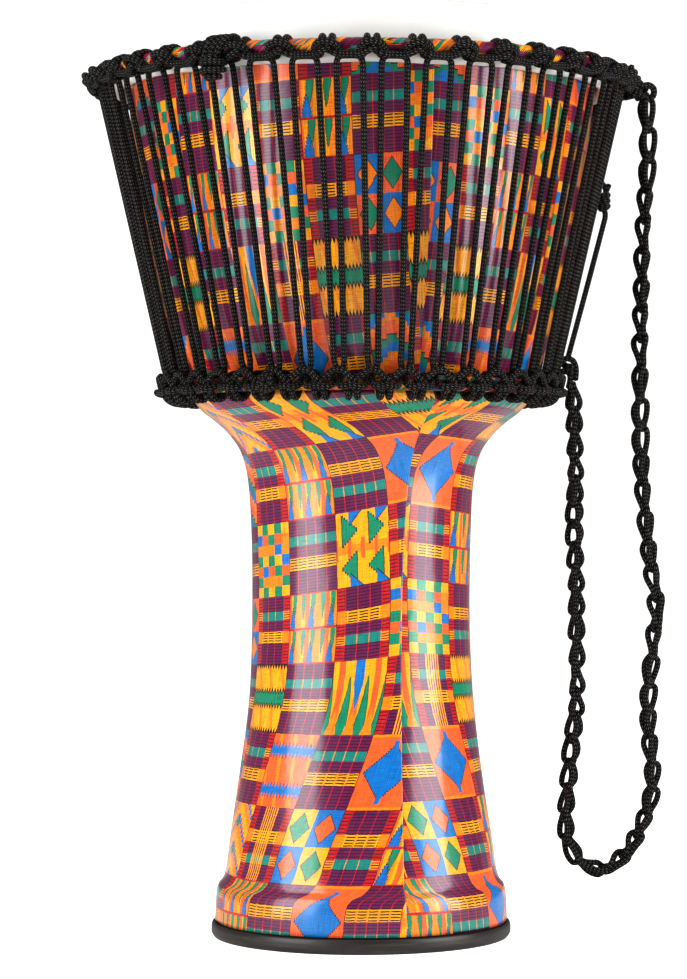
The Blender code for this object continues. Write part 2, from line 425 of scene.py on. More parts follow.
def motifGroup(name, draw):
    inputs = [(key, floatSocket) for key in ("Across", "Up", "Variant")]
    group, given, leave = newGroup(name, inputs, [("Index", floatSocket)])
    plug(leave.inputs["Index"], draw(given["Across"], given["Up"], given["Variant"]))
    return group


# each motif fills a block that is 1 across and 1 up: s and t are places in it, and the numbers below are
# shares of the block or how many times something repeats in it; some motifs come in only one variant
def drawPlaid(s, t, variant):
    sides = between(variant, 0.25, 2.0)      # with a border down each side
    thin = variant > 0.75
    lines = fract(t * 23.0) < 0.30
    tealRow = between(t, 0.65, 0.78)
    dashRow = between(t, 0.32, 0.49)
    index = pick(purple, maroon, lines)
    index = pick(index, teal, tealRow)
    dashes = pick(yellow, black, both(fract(t * 26.0) < 0.42, fract(s * 5.0 + 0.08) > 0.16))
    index = pick(index, dashes, dashRow)
    # separators between the purple columns
    wideCut = away(fract(s * 5.0), 0.5) > 0.455
    sideCut = away(fract((s - 0.16) * 4.41), 0.5) > 0.465
    cut = pick(wideCut, sideCut, sides)
    cutColor = pick(crimson, orange, either(tealRow, dashRow))
    index = pick(index, cutColor, cut)
    pins = both(thin, between(s, 0.33, 0.67), fract(s * 17.6) < 0.5)
    index = pick(index, yellow, pins)
    border = both(sides, away(s, 0.5) > 0.35)
    borderColor = pick(crimson, maroon, fract(t * 21.0) < 0.25)
    borderColor = pick(borderColor, yellow, both(tealRow, fract(t * 30.0) < 0.5))
    borderColor = pick(borderColor, orange, dashRow)
    return pick(index, borderColor, border)


def drawTeeth(s, t, variant):
    q = fract(t * 2.0)
    count = pick(5.0, 3.0, variant)
    lean = q * 0.16
    jag = (fract(q * 11.0) - 0.5) * 0.05       # woven edges step
    index = pick(yellow, orange, away(fract(s * 2.5), 0.5) < 0.2)
    index = pick(index, coral, away(fract(s * 2.5 + 0.5), 0.5) < 0.12)
    greenHalf = calc("MINIMUM", (q - 0.24) * 0.36, 0.19) + jag
    across = away(fract(s * count - lean), 0.5)
    index = pick(index, black, both(across < greenHalf + 0.035, q > 0.26))
    index = pick(index, green, across < greenHalf)
    blueHalf = calc("MINIMUM", (0.62 - q) * 0.30, 0.13) + jag
    across = away(fract(s * count * 0.5 + 0.3), 0.5)
    index = pick(index, black, both(across < blueHalf + 0.02, q < 0.60))
    index = pick(index, blue, across < blueHalf)
    return pick(index, crimson, away(fract(q + 0.5), 0.5) < 0.035)


def drawBigTeeth(s, t, variant):
    index = pick(yellow, coral, away(fract(s * 3.0), 0.5) < 0.17)
    index = pick(index, blue, away(s, 0.5) < calc("MINIMUM", (t - 0.30) * 0.22, 0.085))
    greenHalf = calc("MINIMUM", (0.80 - t) * 0.42, 0.27)
    index = pick(index, black, both(away(fract(s * 3.0 + 0.5), 0.5) < greenHalf + 0.03, t < 0.78))
    index = pick(index, green, away(fract(s * 3.0 + 0.5), 0.5) < greenHalf)
    return pick(index, orange, both(away(fract(s * 3.0), 0.5) < (0.36 - t) * 0.9, t < 0.36))


def drawDiamond(s, t, variant):
    step = floorOf(away(t, 0.5) * 38.0) / 38.0
    x = away(s, 0.5)
    reach = x * 2.35 + step * 2.85
    index = pick(coral, orange, away(t, 0.5) > 0.46)
    index = pick(index, black, reach < 1.03)
    index = pick(index, blue, reach < 0.985)
    stem = both(x < 0.045, away(t, 0.5) < 0.42)
    return pick(index, blue, stem)


def drawChecker(s, t, variant):
    column = floorOf(s * 5.0)
    row = floorOf(t * 7.0)
    odd = calc("MODULO", column + row, 2.0)
    tint = calc("MODULO", row + column * 3.0, 3.0)
    light = pick(yellow, orange, tint > 0.5)
    light = pick(light, coral, tint > 1.5)
    blank = calc("MODULO", row * 2.0 + column, 5.0) > 3.5
    dark = pick(green, blue, calc("MODULO", row + column * 0.5, 3.0) > 1.6)
    dark = pick(dark, orange, blank)
    return pick(light, dark, odd)


def drawSideTriangles(s, t, variant):
    q = fract(t * 2.0)
    top = t > 0.5
    across = pick(1.0 - fract(s * 2.0), fract(s * 2.0), top)
    height = floorOf(away(q, 0.5) * 16.0) / 16.0
    index = pick(yellow, orange, away(t, 0.5) < 0.06)
    index = pick(index, coral, both(away(t, 0.5) < 0.14, away(fract(s * 4.0 + 0.5), 0.5) < 0.14))
    index = pick(index, black, both(across > 0.21, across + height * 1.35 < 0.80))
    index = pick(index, green, both(across > 0.24, across + height * 1.35 < 0.76))
    slope = fract(s * 2.0 + 0.5) - 0.05 + (0.5 - away(t, 0.5)) * 2.6
    index = pick(index, black, both(away(t, 0.5) > 0.26, slope < 0.45))
    return pick(index, blue, both(away(t, 0.5) > 0.27, slope < 0.41))


def drawFourDiamonds(s, t, variant):
    column = s > 0.5
    row = t > 0.5
    other = calc("ABSOLUTE", calc("ABSOLUTE", column - row) - variant)
    reach = away(fract(s * 2.0), 0.5) + away(fract(t * 2.0), 0.5)
    ground = pick(blue, pick(yellow, coral, variant), other)
    mark = pick(pick(coral, orange, variant), green, other)
    index = pick(ground, maroon, reach < 0.42)
    return pick(index, mark, reach < 0.385)


def drawIkat(s, t, variant):
    field = pick(yellow, coral, variant)
    index = pick(field, orange, away(fract(s * 3.0 + t), 0.5) < 0.12)
    comb = away(fract(s * 13.0), 0.5) * 0.17
    mid = pick(away(t, 0.5), away(away(t, 0.5), 0.27), variant)
    index = pick(index, pick(black, purple, variant), mid < pick(0.17, 0.12, variant) - comb)
    index = pick(index, pick(green, blue, variant), mid < pick(0.115, 0.095, variant) - comb * 0.7)
    index = pick(index, black, both(1.0 - variant, away(t, 0.5) > 0.40, away(t, 0.5) > 0.50 - comb))
    return index


def drawChevron(s, t, variant):
    stepped = floorOf(away(s, 0.5) * 14.0) / 14.0
    wave = fract(t * 2.6 + stepped * 2.2)
    index = pick(yellow, orange, wave > 0.62)
    index = pick(index, blue, wave < 0.16)
    index = pick(index, coral, between(wave, 0.16, 0.22))
    return pick(index, green, both(away(s, 0.5) < 0.06, wave > 0.75))


def drawSteppedBars(s, t, variant):
    stepped = floorOf(away(s, 0.5) * 8.0) / 8.0
    wave = fract(t * 2.0 + stepped)
    index = pick(coral, orange, wave > 0.8)
    index = pick(index, blue, wave < 0.26)
    index = pick(index, green, between(wave, 0.26, 0.44))
    return pick(index, black, between(wave, 0.44, 0.47))


def makePrintGroup():
    drawings = {         # in the order of the motif numbers
        "plaid": drawPlaid, "teeth": drawTeeth, "bigTeeth": drawBigTeeth, "diamond": drawDiamond,
        "checker": drawChecker, "sideTriangles": drawSideTriangles, "fourDiamonds": drawFourDiamonds,
        "ikat": drawIkat, "chevron": drawChevron, "steppedBars": drawSteppedBars,
    }
    groups = [motifGroup(name, draw) for name, draw in drawings.items()]
    group, given, leave = newGroup("kentePrint", [("Cloth UV", vectorSocket)],
                                   [("Color", colorSocket), ("Weave", floatSocket)])
    # the printed blocks wander a little, as woven ones do
    wander = noiseAt(given["Cloth UV"], 9.0, 2.0)
    split = addNode("ShaderNodeSeparateXYZ", {0: given["Cloth UV"]})
    u = split + (wander - 0.5) * printSettings["wander"][0]
    v = outputOf(split, 1) + (wander - 0.5) * printSettings["wander"][1]
    layout = printSettings["columns"]
    rows = len(layout[0])
    column = calc("FLOORED_MODULO", floorOf(u), float(len(layout)))
    row = calc("FLOORED_MODULO", floorOf(v), float(rows))
    s = fract(u)
    t = 1.0 - fract(v)       # rows count down from the top
    motifs = printSettings["motifs"]
    code = None
    for k, names in enumerate(layout):
        stops = []
        for i, name in enumerate(names):
            number, flipped, variant = motifs[name]
            stops.append((max(i / rows - 0.02, 0.0), (number / len(groups), flipped, variant)))
        bands = ramp(row / float(rows), stops, constant=True)
        code = bands if code is None else mixColor(away(column, float(k)) < 0.5, code, bands)
    parts = addNode("ShaderNodeSeparateColor", {0: code})
    number = parts * float(len(groups))
    flipped = outputOf(parts, 1)
    variant = outputOf(parts, 2)
    up = pick(t, 1.0 - t, flipped)
    index = None
    for k, motif in enumerate(groups):
        drawn = useGroup(motif, {"Across": s, "Up": up, "Variant": variant})["Index"]
        index = drawn if index is None else pick(index, drawn, away(number, float(k)) < 0.5)
    index = pick(index, maroon, away(s, 0.5) > 0.493)       # narrow dark line between the woven strips
    inks = printSettings["palette"]
    stops = [(max((i - 0.5) / len(inks), 0.0), hexColor(c)) for i, c in enumerate(inks)]
    inked = ramp(index / float(len(inks)), stops, constant=True)
    # threads: warp streaks and weft lines
    stretched = addNode("ShaderNodeMapping", {0: given["Cloth UV"], 3: (60.0, 3.0, 1.0)})
    streaks = noiseAt(stretched, 1.0, 2.0)
    crossed = addNode("ShaderNodeMapping", {0: given["Cloth UV"], 3: (4.0, 90.0, 1.0)})
    picks = noiseAt(crossed, 1.0, 2.0)
    tone = (streaks - 0.5) * 1.0 + (picks - 0.5) * 0.9
    shade = calc("MULTIPLY_ADD", tone, printSettings["threadShade"], 1.0)
    grey = addNode("ShaderNodeCombineColor", {0: shade, 1: shade, 2: shade})
    shaded = mixColor(1.0, inked, grey, "MULTIPLY")
    plug(leave.inputs["Color"], shaded)
    plug(leave.inputs["Weave"], tone + 0.5)
    return group


blackToWhite = ((0.0, 0.0, 0.0), (1.0, 1.0, 1.0))


def makeClothMaterial(name, look):
    material, shader = newMaterial(name)
    cloth = addNode("ShaderNodeUVMap", uv_map="UVMap")
    printed = useGroup(printGroup, {"Cloth UV": cloth})
    place = addNode("ShaderNodeTexCoord", output=3)
    worn = ramp(noiseAt(place, 24.0, 4.0), [(0.35, blackToWhite[0]), (0.75, blackToWhite[1])])
    faded = mixColor(look["fade"], printed["Color"], look["fadeColor"])
    plug(shader.inputs["Base Color"], mixColor(worn, printed["Color"], faded))
    wrinkle = noiseAt(place, 42.0, 3.0, 0.5)
    plug(shader.inputs["Roughness"], calc("MULTIPLY_ADD", wrinkle, 0.16, 0.30))
    shader.inputs["Coat Weight"].default_value = look["coat"]
    shader.inputs["Coat Roughness"].default_value = look["coatRoughness"]
    shader.inputs["Specular IOR Level"].default_value = 0.2
    height = printed["Weave"] * 0.10 + wrinkle * look["wrinkle"]
    plug(shader.inputs["Normal"], bumpFrom(height, 0.001, 0.7))
    plug(shader.inputs["Coat Normal"], bumpFrom(wrinkle, look["wrinkle"] * 0.001, 0.6))
    return material


printGroup = makePrintGroup()
fading = {"fade": 0.02, "fadeColor": (0.9, 0.75, 0.6)}
lacquerLook = {"coat": 0.95, "coatRoughness": 0.17, "wrinkle": 0.5, **fading}
woundLook = {"coat": 0.0, "coatRoughness": 0.4, "wrinkle": 0.8, **fading}
lacqueredCloth = makeClothMaterial("Lacquered printed cloth", lacquerLook)
woundCloth = makeClothMaterial("Wound cloth strip", woundLook)
print("cloth materials ready")


# other materials
def makeBraidGroup():
    inputs = [("Rope UV", vectorSocket), ("Strand Count", floatSocket), ("Pick Length", floatSocket)]
    group, given, leave = newGroup("braidedSheath", inputs, [("Height", floatSocket), ("Painted Glint", floatSocket)])
    split = addNode("ShaderNodeSeparateXYZ", {0: given["Rope UV"]})
    u = split * given["Strand Count"]
    v = outputOf(split, 1) / given["Pick Length"]
    a = u + v
    b = u - v
    ridgeA = 1.0 - away(fract(a), 0.5) * 2.0
    ridgeB = 1.0 - away(fract(b), 0.5) * 2.0
    over = calc("FLOORED_MODULO", floorOf(a) + floorOf(b), 2.0)
    height = pick(ridgeA, ridgeB, over)
    specks = noiseAt(given["Rope UV"], 520.0, 1.0)
    # painted highlight: light flecks on the tops of the over strands, standing in for glints of light on the
    # braid
    paintedGlint = both(height > 0.70, specks > 0.46, over)
    plug(leave.inputs["Height"], calc("POWER", height, 0.6))
    plug(leave.inputs["Painted Glint"], paintedGlint)
    return group


def makeRopeMaterial(name, look):
    material, shader = newMaterial(name)
    route = addNode("ShaderNodeUVMap", uv_map="UVMap")
    braid = useGroup(braidGroup, {"Rope UV": route, "Strand Count": look["strands"],
                                  "Pick Length": look["pick"]})
    place = addNode("ShaderNodeTexCoord", output=3)
    dust = noiseAt(place, 60.0, 3.0)
    dark = mixColor(dust, look["dark"], look["worn"])
    # painted highlight: the base colour turns pale grey where the glint flecks fall
    plug(shader.inputs["Base Color"], mixColor(braid["Painted Glint"], dark, look["paintedGlint"]))
    plug(shader.inputs["Roughness"], calc("MULTIPLY_ADD", dust, 0.2, 0.42))
    shader.inputs["Specular IOR Level"].default_value = 0.14
    plug(shader.inputs["Normal"], bumpFrom(braid["Height"], 0.0008, 1.0))
    return material


skinLook = {"shade": (0.80, 0.785, 0.755), "light": (0.86, 0.85, 0.83), "grain": (0.78, 0.73, 0.66)}
rubberLook = {"clean": (0.026, 0.022, 0.020), "scuffed": (0.062, 0.056, 0.050)}
shellLook = {"dark": (0.030, 0.029, 0.028), "light": (0.052, 0.050, 0.048)}
steelLook = {"bare": (0.45, 0.45, 0.46), "rust": (0.22, 0.13, 0.08)}


def makeSkinMaterial():
    material, shader = newMaterial("Coated drum skin")
    place = addNode("ShaderNodeTexCoord", output=3)
    cloud = noiseAt(place, 7.0, 4.0, 0.6)
    grain = noiseAt(place, 260.0, 3.0, 0.6)
    tint = ramp(cloud, [(0.3, skinLook["shade"]), (0.7, skinLook["light"])])
    plug(shader.inputs["Base Color"], mixColor(grain * 0.12, tint, skinLook["grain"]))
    plug(shader.inputs["Roughness"], calc("MULTIPLY_ADD", grain, 0.15, 0.45))
    shader.inputs["Subsurface Weight"].default_value = 0.12
    shader.inputs["Subsurface Scale"].default_value = 0.004
    plug(shader.inputs["Normal"], bumpFrom(grain + cloud * 0.5, 0.0003, 0.6))
    return material


def makeRubberMaterial():
    material, shader = newMaterial("Foot rubber")
    place = addNode("ShaderNodeTexCoord", output=3)
    stipple = noiseAt(place, 900.0, 2.0)
    scuff = noiseAt(addNode("ShaderNodeMapping", {0: place, 3: (3.0, 3.0, 40.0)}), 12.0, 5.0, 0.7)
    worn = ramp(scuff, [(0.5, blackToWhite[0]), (0.72, blackToWhite[1])])
    plug(shader.inputs["Base Color"], mixColor(worn, rubberLook["clean"], rubberLook["scuffed"]))
    plug(shader.inputs["Roughness"], calc("MULTIPLY_ADD", scuff, 0.30, 0.24))
    plug(shader.inputs["Normal"], bumpFrom(stipple + scuff, 0.0002, 0.6))
    return material


def makeShellMaterial():
    material, shader = newMaterial("Moulded shell")
    place = addNode("ShaderNodeTexCoord", output=3)
    pebble = addNode("ShaderNodeTexVoronoi", {"Vector": place, "Scale": 420.0}, feature="SMOOTH_F1")
    flow = noiseAt(addNode("ShaderNodeMapping", {0: place, 3: (8.0, 8.0, 1.5)}), 3.0, 4.0)
    plug(shader.inputs["Base Color"], mixColor(flow, shellLook["dark"], shellLook["light"]))
    plug(shader.inputs["Roughness"], calc("MULTIPLY_ADD", pebble, 0.35, 0.38))
    plug(shader.inputs["Normal"], bumpFrom(pebble, 0.0005, 0.5))
    return material


def makeSteelMaterial():
    material, shader = newMaterial("Ring steel")
    place = addNode("ShaderNodeTexCoord", output=3)
    drawn = noiseAt(addNode("ShaderNodeMapping", {0: place, 3: (40.0, 40.0, 400.0)}), 4.0, 3.0)
    spots = noiseAt(place, 120.0, 4.0, 0.7)
    rusted = ramp(spots, [(0.58, blackToWhite[0]), (0.7, blackToWhite[1])])
    plug(shader.inputs["Base Color"], mixColor(rusted, steelLook["bare"], steelLook["rust"]))
    shader.inputs["Metallic"].default_value = 1.0
    plug(shader.inputs["Roughness"], calc("MULTIPLY_ADD", drawn, 0.3, 0.25))
    plug(shader.inputs["Normal"], bumpFrom(drawn, 0.0002, 0.5))
    return material


def makeFloorMaterial():
    material, shader = newMaterial("Studio floor")
    place = addNode("ShaderNodeTexCoord", output=3)
    grain = noiseAt(place, 3.0, 3.0)
    plug(shader.inputs["Base Color"], mixColor(grain, (0.88, 0.88, 0.88), (0.90, 0.90, 0.90)))
    shader.inputs["Roughness"].default_value = 0.9
    shader.inputs["Emission Color"].default_value = (1.0, 1.0, 1.0, 1.0)
    seen = addNode("ShaderNodeLightPath")        # white to the camera, dim in the drum's own reflections
    plug(shader.inputs["Emission Strength"], calc("MULTIPLY_ADD", seen, 0.72, 0.12))
    return material


braidGroup = makeBraidGroup()
ropeLook = {
    "strands": 8.0,
    "pick": 0.0025,
    "dark": (0.0020, 0.0018, 0.0017),
    "worn": (0.0060, 0.0054, 0.0050),
    # pale grey of the painted highlight flecks
    "paintedGlint": (0.220, 0.208, 0.188),
}
blackRope = makeRopeMaterial("Black braided rope", ropeLook)
skinMaterial = makeSkinMaterial()
rubberMaterial = makeRubberMaterial()
shellMaterial = makeShellMaterial()
steelMaterial = makeSteelMaterial()
print("materials ready")

# camera
cameraSettings = {"place": (0.0, -2.10, 0.29), "lens": 114.0, "shift": (-0.01788, 0.01685)}
cameraData = bpy.data.cameras.new("Camera")
camera = bpy.data.objects.new("Camera", cameraData)
bpy.context.scene.collection.objects.link(camera)
camera.location = cameraSettings["place"]
camera.rotation_euler = (math.radians(90.0), 0.0, 0.0)
cameraData.lens = cameraSettings["lens"]
cameraData.sensor_width = 36.0
cameraData.shift_x, cameraData.shift_y = cameraSettings["shift"]
bpy.context.scene.camera = camera

# carrying strap, a chain braid hanging from the crown to the lower ring
strapSettings = {
    "route": [
        (0.1922, 0.5683), (0.1936, 0.5560), (0.1938, 0.5175), (0.1910, 0.4633), (0.1896, 0.3956),
        (0.1892, 0.3347), (0.1943, 0.2670), (0.2002, 0.2264), (0.1988, 0.2020), (0.1950, 0.1695),
        (0.1946, 0.1451), (0.1968, 0.1208), (0.1976, 0.1045), (0.1954, 0.0883), (0.1888, 0.0700),
        (0.1790, 0.0540), (0.1650, 0.0440), (0.1500, 0.0480), (0.1405, 0.0620), (0.1385, 0.0800),
        (0.1402, 0.0990), (0.1425, 0.1230), (0.1450, 0.1500), (0.1460, 0.1900), (0.1456, 0.2264),
        (0.1450, 0.2670), (0.1446, 0.3100), (0.1444, 0.3450), (0.1434, 0.3620), (0.1424, 0.3758),
    ],
    "rope": 0.00205,
    "pitch": 0.0178,            # length of a stitch
    "diameter": 0.0136,         # across the whole braid
    "twist": 1.2,
    "ends": 0.003,
    "uneven": 0.07,
    "looserAtTop": 0.14,
    # one stitch: share of the pitch, then across and depth in millimetres
    "stitch": [
        (0.00, -1.0, -0.4), (0.12, -1.2, 2.0), (0.30, -1.5, 3.4), (0.52, -2.2, 3.6), (0.76, -3.7, 2.8),
        (0.97, -4.9, 1.3), (1.13, -3.9, -0.4), (1.20, 0.0, -1.2), (1.13, 3.9, -0.4), (0.97, 4.9, 1.3),
        (0.76, 3.7, 2.8), (0.52, 2.2, 3.6), (0.30, 1.5, 3.4), (0.12, 1.2, 2.0), (0.00, 1.0, -0.4),
        (-0.04, 0.8, -2.8), (0.12, 0.3, -4.7), (0.55, 0.0, -5.2), (0.88, -0.3, -4.7), (1.00, -0.8, -2.8),
    ],
}


def makeStrap():
    line = smoothRoute([(x, 0.0, z) for x, z in strapSettings["route"]], 0.002)
    length = routeLength(line)
    run = np.linspace(0.0, length, len(line))
    tangents = np.gradient(line, axis=0)
    tangents /= np.linalg.norm(tangents, axis=1)[:, None]
    flat = np.cross(tangents, (0.0, 1.0, 0.0))       # lies in the strap's own plane
    ends = strapSettings["ends"]
    braided = length - 2 * ends
    count = int(braided / strapSettings["pitch"])
    points = []
    stretch = []
    for i in range(count):
        looser = strapSettings["looserAtTop"] * math.cos(math.pi * i / count)
        stretch.append(1.0 + looser + random.uniform(-strapSettings["uneven"], strapSettings["uneven"]))
    starts = np.concatenate([[0.0], np.cumsum(stretch)]) * braided / sum(stretch)
    out = np.array((0.0, -1.0, 0.0))
    for i in reversed(range(count)):        # braided from the lower end upwards
        # the braid turns a little from stitch to stitch
        lean = 0.60 + 0.30 * math.sin(i * 0.61 + 1.1) + 0.28 * math.sin(i * 1.37)
        tightness = 1.0 + random.uniform(-strapSettings["uneven"], 0.05)
        for share, across, depth in strapSettings["stitch"]:
            at = np.clip(starts[i + 1] - share * (starts[i + 1] - starts[i]) + ends, 0.0, length)
            centre = [np.interp(at, run, line[:, k]) for k in range(3)]
            inPlane = np.array([np.interp(at, run, flat[:, k]) for k in range(3)])
            turned = lean + strapSettings["twist"] * (share - 0.5)
            c = math.cos(turned)
            s = math.sin(turned)
            x = across * 0.001 * tightness
            y = depth * 0.001
            points.append(np.array(centre) + inPlane * (c * x - s * y) + out * (s * x + c * y))
    strap = makeRope("strapChain", [smoothRoute(points, 0.0016)], strapSettings["rope"], blackRope)
    print("strap", round(length, 4), "m long,", count, "stitches")
    return strap, line, length


strap, strapLine, strapLength = makeStrap()

# knots
knotSettings = {
    "tieOffSide": drumSizes["firstHitch"] - 3.5 * hitchPitch,
    "spacing": 0.0012,
    "windSteps": 18,
    "wrapSteps": 16,
    "button": (0.1401, drumSizes["firstHitch"] - 3.0 * hitchPitch, 0.3690),
    "tail": (0.1640, strapSide, 0.4960),
    "strapTop": (0.1842, strapSide, 0.5712),
    "strapLower": (0.1414, strapSide, 0.3828),
}


def localFrame(place):
    centre = np.array(polar(*place))
    angle = math.radians(place[1])
    outward = np.array((math.sin(angle), -math.cos(angle), 0.0))
    sideways = np.array((math.cos(angle), math.sin(angle), 0.0))
    return centre, outward, sideways, np.array((0.0, 0.0, 1.0))


def placed(place, points):       # points in millimetres: sideways, outward, up
    centre, outward, sideways, up = localFrame(place)
    return [centre + (sideways * x + outward * y + up * z) * 0.001 for x, y, z in points]


def ballWind(radius, turns, tilt):
    points = []
    total = int(turns * knotSettings["windSteps"])
    for i in range(total + 1):
        share = i / total
        polarAngle = math.pi * (0.06 + 0.86 * share)
        angle = 2 * math.pi * turns * share
        x = radius * math.sin(polarAngle) * math.cos(angle)
        y = radius * math.sin(polarAngle) * math.sin(angle)
        z = radius * math.cos(polarAngle)
        points.append((x * math.cos(tilt) + z * math.sin(tilt), y, z * math.cos(tilt) - x * math.sin(tilt)))
    return points


# turns wound round the ring, or round an upright line when axis is 2
def wrapped(radii, turns, pitch, axis=0, start=0.0, slant=0.0):
    points = []
    steps = knotSettings["wrapSteps"]
    for i in range(int(turns * steps) + 1):
        angle = start + 2 * math.pi * i / steps
        along = pitch * (i / steps - turns / 2) + slant * math.sin(angle)
        ring = (radii[0] * math.cos(angle), radii[1] * math.sin(angle))
        points.append((along, ring[0], ring[1]) if axis == 0 else (ring[0], ring[1], along))
    return points


def spiralDisc(outer, turns, bulge):
    points = []
    total = int(turns * knotSettings["windSteps"])
    for i in range(total + 1):
        share = i / total
        angle = 2 * math.pi * turns * share
        r = outer * share
        points.append((r * math.cos(angle), bulge * (1.0 - share**2), r * math.sin(angle)))
    return points


def tied(place, points):
    return smoothRoute(placed(place, points), knotSettings["spacing"])


def makeTieOff():
    side = knotSettings["tieOffSide"]
    ringRadius, ringHeight = drumSizes["crownRing"]
    routes = [
        tied((ringRadius + 0.0010, side, ringHeight), wrapped((6.8, 6.2), 3.0, 4.4)),
        tied((ringRadius + 0.0032, side, ringHeight - 0.0004),
             wrapped((9.6, 7.8), 3.2, 4.6, start=0.8, slant=4.0)),
        tied((0.1868, side + 0.2, 0.5640), ballWind(7.0, 3.6, 0.12)),
    ]
    return makeRope("tieOffKnot", routes, 0.0021, blackRope)


def makeButton():
    backing = [(-4.0, -2.0, -2.0), (0.0, -3.0, 3.0), (4.0, -2.0, -2.0)]
    routes = [tied(knotSettings["button"], r) for r in (spiralDisc(5.6, 1.9, 2.2), backing)]
    return makeRope("buttonKnot", routes, drumSizes["ropeRadius"], blackRope)


def makeTailKnot():
    routes = [
        wrapped((4.0, 3.4), 2.6, 3.7, axis=2, start=0.4, slant=1.2),
        [(0.0, -2.0, -6.0), (-1.0, 1.0, 1.0), (0.0, 2.0, 6.0), (1.0, 1.0, 10.5), (2.0, -1.0, 13.5)],
        [(1.5, 0.5, 4.0), (2.0, 3.0, 9.0), (2.8, 4.2, 11.8)],
    ]
    return makeRope("tailKnot", [tied(knotSettings["tail"], r) for r in routes], 0.0018, blackRope)


def makeStrapTop():
    routes = [
        wrapped((5.6, 5.0), 2.7, 4.1, axis=2, start=0.6, slant=1.6),
        [(-1.0, -1.4, 16.8), (-1.4, -0.4, 10.0), (-2.2, 1.0, 4.0), (-3.0, 2.0, -3.0)],
        # the loop that stands out from the ring
        [(-4.4, -2.0, 7.0), (-5.2, 2.0, 4.6), (-4.8, 6.0, 2.8), (-3.6, 10.4, 3.4), (-2.4, 13.8, 0.8),
         (-1.4, 13.4, -3.6), (-0.4, 9.8, -5.4), (0.6, 6.0, -3.4), (1.0, 6.6, 0.8), (1.0, 10.0, 2.0)],
        [(-5.0, -6.0, 2.0), (-5.8, -1.0, -1.0), (-6.0, 4.0, -3.0), (-4.0, 9.0, -6.2)],
        [(-12.0, -10.0, 4.0), (-6.0, -6.0, 3.0), (0.0, -4.8, 2.0), (6.0, -6.0, 3.0), (12.0, -10.0, 4.0)],
    ]
    return makeRope("strapTopKnot", [tied(knotSettings["strapTop"], r) for r in routes], 0.0022, blackRope)


def makeStrapLower():
    routes = [
        [(-2.0, -11.0, -5.0), (-3.4, -8.0, 3.0), (-4.0, -3.0, 6.8), (-4.0, 1.8, 5.4), (-3.4, 4.0, 0.0),
         (-2.6, 3.6, -7.5)],
        [(-1.0, -10.6, -10.0), (-2.6, -7.0, -3.0), (-3.4, -2.0, -1.2), (-3.0, 0.2, -6.0),
         (-2.0, -1.0, -13.0)],
        wrapped((4.0, 4.0), 1.6, 4.0, axis=2, start=2.0),
    ]
    return makeRope("strapLowerKnot", [tied(knotSettings["strapLower"], r) for r in routes],
                    drumSizes["ropeRadius"], blackRope)


tieOffKnot = makeTieOff()
buttonKnot = makeButton()
tailKnot = makeTailKnot()
strapTopKnot = makeStrapTop()
strapLowerKnot = makeStrapLower()
print("knots ready")

# lacing
lacingSettings = {
    "loopRope": 0.00225,
    "loopSpacing": 0.0015,
    "underpass": {"within": 3.2, "beyond": 8.0, "drop": 2.6},
    "loose": 0.4,
    "wobble": 0.12,
    # a hitch from its left loop to its middle: sideways, outward and up from the ring, in millimetres
    "crownHitch": [
        (-11.0, 6.0, -6.5), (-8.4, 6.4, -6.5), (-5.6, 7.6, -5.9), (-2.8, 9.0, -4.6), (0.0, 9.6, -3.0),
        (2.0, 8.8, -0.8), (2.9, 6.6, 2.4), (3.0, 2.6, 5.1), (3.1, -2.4, 4.8), (3.6, -5.6, 1.4),
        (4.9, -4.8, -4.0), (6.3, -0.4, -6.0), (7.6, 4.6, -4.2), (6.2, 9.6, -1.2), (3.4, 12.2, 0.4),
        (0.0, 12.9, 0.9),
    ],
    "lowerHitch": [
        (-10.0, 11.4, 8.2), (-7.4, 11.6, 7.2), (-4.6, 11.4, 5.4), (-1.8, 11.2, 3.4), (0.8, 10.8, 1.6),
        (2.4, 9.4, -1.4), (2.7, 7.6, -5.0), (2.7, 4.0, -8.3), (2.9, -0.8, -8.8), (3.0, -4.8, -5.0),
        (3.6, -6.0, 0.0), (4.8, -4.8, 4.4), (6.8, -0.2, 5.6), (8.4, 5.6, 1.6), (6.8, 10.2, -2.2),
        (3.6, 12.8, -2.6), (0.0, 13.4, -2.0),
    ],
    # turning points of the tension rope: radius, degrees from the hitch's middle, height
    "lowerTurn": [(0.1328, -1.35, 0.3815), (0.1300, 0.0, 0.3742), (0.1328, 1.35, 0.3815)],
    "lowerShift": 0.9,          # degrees that the lower turns sit to the right of the hitches
    "upperTurn": [(0.1748, 1.92, 0.5640), (0.1757, 2.50, 0.5690)],
    "upperMiddle": (0.1757, 0.5698),
    "laceSpacing": 0.0022,
    # the loose end's radius and height, from its knot down to the lower ring
    "tailEnd": [(0.1640, 0.4935), (0.1655, 0.4870), (0.1640, 0.4800), (0.1535, 0.4400), (0.1402, 0.3905)],
}


def makeLoops(name, ring, offset, half, slope):
    points = []
    shift = 0.001 / ring[0]
    under = lacingSettings["underpass"]      # where the way back crosses under the way out
    full = list(half)
    for x, y, z in reversed(half[:-1]):
        crosses = abs(x) < under["within"] and y > under["beyond"]
        full.append((-x, y - (under["drop"] if crosses else 0.0), z))
    for index in range(drumSizes["hitches"]):
        middle = drumSizes["firstHitch"] + hitchPitch * index + offset
        middle += random.uniform(-lacingSettings["wobble"], lacingSettings["wobble"])
        sag = random.uniform(-lacingSettings["loose"], lacingSettings["loose"])
        for x, y, z in full:
            loose = sag if abs(x) > 8.0 else 0.0
            if 4.0 < abs(x) < 10.0 and z > 4.0:      # the rope climbs from one hitch to the next
                loose -= math.copysign(slope * (10.0 - abs(x)), x)
            angle = middle + math.degrees(x * shift)
            points.append(polar(ring[0] + (y + loose * 0.4) * 0.001, angle, ring[1] + (z + loose) * 0.001))
    route = smoothRoute(points, lacingSettings["loopSpacing"], closed=True)
    return makeRope(name, [route], lacingSettings["loopRope"], blackRope, closed=True)


